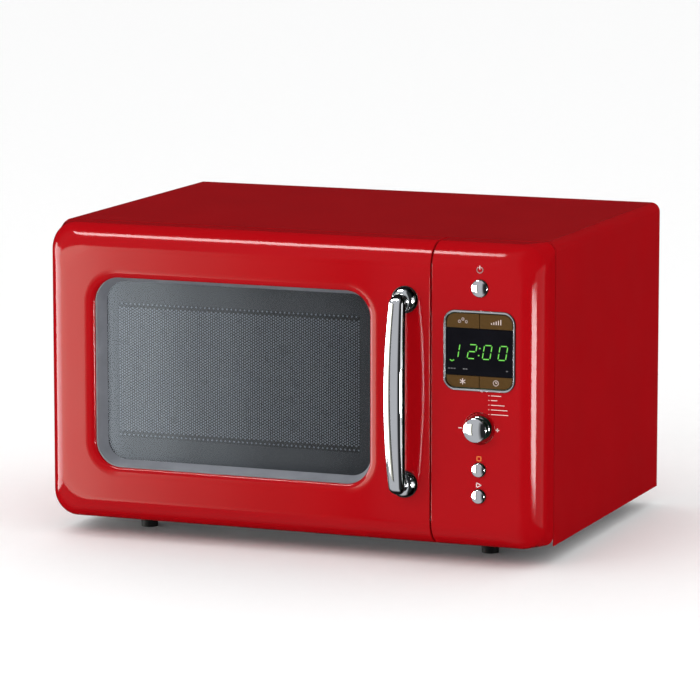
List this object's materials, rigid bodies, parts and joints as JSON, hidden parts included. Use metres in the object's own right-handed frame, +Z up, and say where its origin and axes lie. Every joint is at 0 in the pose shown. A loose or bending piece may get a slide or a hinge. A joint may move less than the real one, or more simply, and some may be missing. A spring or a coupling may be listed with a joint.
{
  "type": "microwave oven",
  "caption": "Compact countertop microwave oven with rolled glossy front, side-hinged windowed door, bowed bar handle, display, turning knob and push buttons.",
  "frame": {"origin": "under the middle of the whole object, on the surface it stands on", "axes": "+X to the right seen from the front, +Y to the back, +Z up"},
  "size_m": [0.446, 0.364, 0.27],
  "materials": {
    "red_paint": "gloss enamel",
    "red_moulding": "high gloss",
    "chrome": "polished",
    "silver_rim": "polished",
    "dark_moulding": "fine satin",
    "window_glass": "clear, polished",
    "mesh_steel": "satin black",
    "liner_enamel": "satin grey enamel",
    "zinc_steel": "zinc plated",
    "lens_black": "high gloss",
    "key_brown": "satin",
    "rubber_black": "matt",
    "white_plastic": "satin",
    "board_green": "solder mask",
    "copper_winding": "copper-coloured enamelled wire",
    "core_steel": "varnished laminations",
    "aluminium": "pressed sheet",
    "turntable_glass": "clear, polished",
    "mica": "pearly sheet"
  },
  "bodies": {
    "root": {"outer_cabinet": "red_paint", "base_plate": "zinc_steel", "rear_panel": "red_paint", "cord_gland": "rubber_black", "front_frame": "liner_enamel", "cavity_liner": "liner_enamel", "waveguide": "zinc_steel", "mica_cover": "mica", "magnetron": "aluminium", "magnetron_filter_box": "zinc_steel", "transformer_core": "core_steel", "transformer_windings": "copper_winding", "capacitor": "aluminium", "fan_shroud": "white_plastic", "fan_motor": "core_steel", "turntable_motor": "zinc_steel", "oven_lamp": "turntable_glass", "lamp_socket": "white_plastic", "filter_board": "board_green", "latch_board": "white_plastic", "interlock_switches": "dark_moulding", "control_panel": "red_moulding", "display_bezel": "silver_rim", "display_lens": "lens_black", "display_module": "dark_moulding", "control_board": "board_green", "knob_encoder": "zinc_steel", "hinge_brackets": "zinc_steel", "hinge_pins": "zinc_steel", "feet": "rubber_black", "case_screws": "zinc_steel"},
    "door": {"door_outer_frame": "red_moulding", "window_surround": "dark_moulding", "door_glass": "window_glass", "mesh_screen": "mesh_steel", "door_inner_panel": "mesh_steel", "inner_window": "window_glass", "choke_cover": "dark_moulding", "handle_bar": "chrome", "handle_post_lower": "chrome", "handle_post_upper": "chrome", "handle_screws": "zinc_steel", "latch_spring": "zinc_steel"},
    "latch": {"door_latch": "white_plastic"},
    "knob": {"selector_knob": "chrome", "encoder_shaft": "zinc_steel"},
    "power_button": {"power_button": "chrome"},
    "stop_button": {"stop_button": "chrome"},
    "start_button": {"start_button": "chrome"},
    "key_upper_left": {"key_upper_left": "key_brown"},
    "key_upper_right": {"key_upper_right": "key_brown"},
    "key_lower_left": {"key_lower_left": "key_brown"},
    "key_lower_right": {"key_lower_right": "key_brown"},
    "fan": {"fan_blade": "white_plastic"},
    "turntable": {"turntable_plate": "turntable_glass", "turntable_coupler": "white_plastic"},
    "ring": {"roller_ring": "white_plastic"},
    "wheel_1": {"roller_wheel_1": "white_plastic"},
    "wheel_2": {"roller_wheel_2": "white_plastic"},
    "wheel_3": {"roller_wheel_3": "white_plastic"}
  },
  "joints": [
    {"name": "door_hinge", "type": "hinge", "parent": "root", "child": "door", "pos_m": [-0.215, -0.122, 0.144], "axis": [0, 0, -1], "range_deg": [0, 110]},
    {"name": "latch_slide", "type": "slide", "parent": "door", "child": "latch", "axis": [0, 0, 1], "range_m": [0, 0.003], "stiffness_N_per_m": 400, "springref_m": -0.001, "deforming": ["latch_spring"]},
    {"name": "knob_turn", "type": "hinge", "parent": "root", "child": "knob", "pos_m": [0.171, -0.155, 0.1181], "axis": [0, 1, 0], "continuous": true},
    {"name": "power_button_press", "type": "slide", "parent": "root", "child": "power_button", "axis": [0, 1, 0], "range_m": [0, 0.0012], "stiffness_N_per_m": 700, "springref_m": -0.0006},
    {"name": "stop_button_press", "type": "slide", "parent": "root", "child": "stop_button", "axis": [0, 1, 0], "range_m": [0, 0.0012], "stiffness_N_per_m": 700, "springref_m": -0.0006},
    {"name": "start_button_press", "type": "slide", "parent": "root", "child": "start_button", "axis": [0, 1, 0], "range_m": [0, 0.0012], "stiffness_N_per_m": 700, "springref_m": -0.0006},
    {"name": "key_upper_left_press", "type": "slide", "parent": "root", "child": "key_upper_left", "axis": [0, 1, 0], "range_m": [0, 0.0008], "stiffness_N_per_m": 700, "springref_m": -0.0006},
    {"name": "key_lower_left_press", "type": "slide", "parent": "root", "child": "key_lower_left", "axis": [0, 1, 0], "range_m": [0, 0.0008], "stiffness_N_per_m": 700, "springref_m": -0.0006},
    {"name": "key_upper_right_press", "type": "slide", "parent": "root", "child": "key_upper_right", "axis": [0, 1, 0], "range_m": [0, 0.0008], "stiffness_N_per_m": 700, "springref_m": -0.0006},
    {"name": "key_lower_right_press", "type": "slide", "parent": "root", "child": "key_lower_right", "axis": [0, 1, 0], "range_m": [0, 0.0008], "stiffness_N_per_m": 700, "springref_m": -0.0006},
    {"name": "fan_spin", "type": "hinge", "parent": "root", "child": "fan", "pos_m": [0.16, 0.162, 0.197], "axis": [0, 1, 0], "continuous": true},
    {"name": "turntable_turn", "type": "hinge", "parent": "root", "child": "turntable", "pos_m": [-0.052, 0.027, 0.05], "axis": [0, 0, 1], "continuous": true},
    {"name": "ring_turn", "type": "hinge", "parent": "root", "child": "ring", "pos_m": [-0.052, 0.027, 0.04705], "axis": [0, 0, 1], "continuous": true},
    {"name": "wheel_1_roll", "type": "hinge", "parent": "ring", "child": "wheel_1", "pos_m": [0.036, 0.027, 0.04705], "axis": [1, 0, 0], "continuous": true},
    {"name": "wheel_2_roll", "type": "hinge", "parent": "ring", "child": "wheel_2", "pos_m": [-0.096, 0.10321, 0.04705], "axis": [-0.5, 0.866, 0], "continuous": true},
    {"name": "wheel_3_roll", "type": "hinge", "parent": "ring", "child": "wheel_3", "pos_m": [-0.096, -0.04921, 0.04705], "axis": [-0.5, -0.866, 0], "continuous": true}
  ],
  "couplings": [
    {"joint": "ring_turn", "follows": "turntable_turn", "ratio": 0.5},
    {"joint": "wheel_1_roll", "follows": "turntable_turn", "ratio": -6.5672},
    {"joint": "wheel_2_roll", "follows": "turntable_turn", "ratio": -6.5672},
    {"joint": "wheel_3_roll", "follows": "turntable_turn", "ratio": -6.5672}
  ]
}
